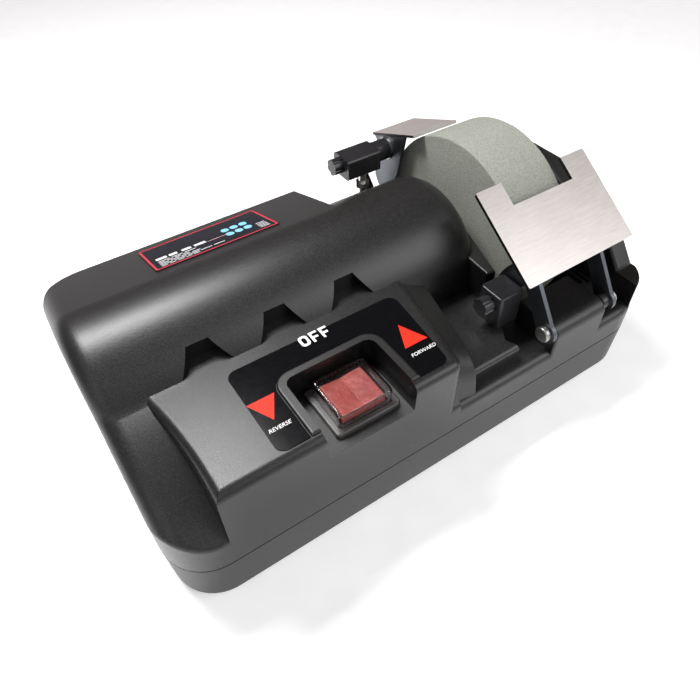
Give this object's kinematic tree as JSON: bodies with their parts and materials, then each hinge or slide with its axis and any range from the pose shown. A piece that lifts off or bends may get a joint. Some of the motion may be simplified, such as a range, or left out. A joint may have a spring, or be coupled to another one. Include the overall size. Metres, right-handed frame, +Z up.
{
  "type": "wet grinding sharpener",
  "caption": "Bench sharpener with a slow stone wheel in a water trough, geared motor in a moulded shell, reversing rocker switch and two tilting tool rests.",
  "frame": {"origin": "middle of the machine's bounding box, on the plane that its rubber feet stand on", "axes": "+X along the machine from the motor end to the wheel, parallel to the wheel shaft; +Y from the control side to the back; +Z up"},
  "size_m": [0.307, 0.175, 0.1279],
  "materials": {
    "upper_shell": "fine-grained black ABS",
    "lower_shell": "fine-grained black ABS",
    "trough_plastic": "smooth black polypropylene",
    "rubber": "matt black rubber",
    "decal_gloss": "gloss printed film",
    "label_gloss": "gloss printed film",
    "black_plastic": "satin black nylon",
    "rocker_red": "translucent red, gloss",
    "clear_cover": "clear flexible PVC",
    "stone": "matt vitrified abrasive, opaque",
    "nylon": "natural nylon",
    "bronze": "sintered bronze",
    "steel": "turned steel",
    "zinc": "zinc-plated steel",
    "brushed_plate": "brushed stainless steel",
    "black_steel": "black-painted steel",
    "motor_steel": "plated motor steel",
    "copper": "enamelled copper",
    "carbon": "carbon brush",
    "circuit_board": "green fibreglass board",
    "board_parts": "moulded components"
  },
  "bodies": {
    "housing": {"board_components": "board_parts", "brushes": "carbon", "cable_gland": "black_plastic", "case_screws": "zinc", "control_board": "circuit_board", "control_decal": "decal_gloss", "field_magnets": "motor_steel", "front_clamp_block": "black_plastic", "front_pivot_bolts": "zinc", "front_pivot_spacer": "black_steel", "gear_plate": "steel", "gearbox_cover": "nylon", "gearbox_screws": "zinc", "idler_axle": "steel", "lower_housing": "lower_shell", "motor_bushings": "bronze", "motor_can": "motor_steel", "motor_front_cap": "nylon", "motor_rear_cap": "nylon", "motor_screws": "zinc", "motor_straps": "zinc", "rating_label": "label_gloss", "rear_clamp_block": "black_plastic", "rear_post": "black_steel", "rear_post_screw": "zinc", "rear_stud": "steel", "rear_stud_nuts": "zinc", "rubber_feet": "rubber", "shaft_bushings": "bronze", "shaft_seal": "rubber", "switch_body": "black_plastic", "switch_splash_cover": "clear_cover", "switch_terminals": "bronze", "trough_seal": "rubber", "upper_housing": "upper_shell", "water_trough": "trough_plastic"},
    "wheel": {"grinding_wheel": "stone", "wheel_bush": "nylon", "wheel_shaft": "steel", "inner_flange": "steel", "outer_flange": "steel", "arbor_nut": "steel", "output_gear": "nylon"},
    "idler": {"idler_gear": "nylon"},
    "rotor": {"motor_pinion": "bronze", "motor_shaft": "steel", "armature_core": "motor_steel", "armature_windings": "copper", "commutator": "copper", "cooling_fan": "nylon"},
    "front_rest": {"front_rest_plate": "brushed_plate", "front_rest_left_arm": "black_steel", "front_rest_right_arm": "black_steel"},
    "front_knob": {"front_clamp_knob": "black_plastic"},
    "rear_rest": {"rear_rest_plate": "brushed_plate", "rear_rest_flange": "black_steel", "rear_clamp_pin": "zinc", "rear_clamp_washer": "zinc"},
    "rear_knob": {"rear_clamp_knob": "black_plastic"},
    "rocker": {"switch_rocker": "rocker_red"}
  },
  "joints": [
    {"name": "wheel_spin", "type": "hinge", "parent": "housing", "child": "wheel", "pos_m": [0.0995, 0.0147, 0.0679], "axis": [1, 0, 0], "continuous": true},
    {"name": "idler_spin", "type": "hinge", "parent": "housing", "child": "idler", "pos_m": [0.03, 0.00273, 0.03501], "axis": [1, 0, 0], "continuous": true},
    {"name": "rotor_spin", "type": "hinge", "parent": "housing", "child": "rotor", "pos_m": [-0.03, 0.03273, 0.03501], "axis": [1, 0, 0], "continuous": true},
    {"name": "front_rest_tilt", "type": "hinge", "parent": "housing", "child": "front_rest", "pos_m": [0.092, -0.0812, 0.0639], "axis": [1, 0, 0], "range_deg": [-4, 20]},
    {"name": "front_knob_turn", "type": "hinge", "parent": "housing", "child": "front_knob", "pos_m": [0.05, -0.054, 0.075], "axis": [1, 0, 0], "range_deg": [0, 180]},
    {"name": "rear_rest_tilt", "type": "hinge", "parent": "housing", "child": "rear_rest", "pos_m": [0.072, 0.072, 0.1024], "axis": [1, 0, 0], "range_deg": [-25, 0]},
    {"name": "rear_knob_turn", "type": "hinge", "parent": "housing", "child": "rear_knob", "pos_m": [0.033, 0.072, 0.1024], "axis": [1, 0, 0], "range_deg": [0, 180]},
    {"name": "rocker_tilt", "type": "hinge", "parent": "housing", "child": "rocker", "pos_m": [-0.048, -0.066, 0.073], "axis": [0, 1, 0], "range_deg": [-10, 10]}
  ],
  "couplings": [
    {"joint": "idler_spin", "follows": "wheel_spin", "ratio": -3},
    {"joint": "rotor_spin", "follows": "wheel_spin", "ratio": 12}
  ]
}
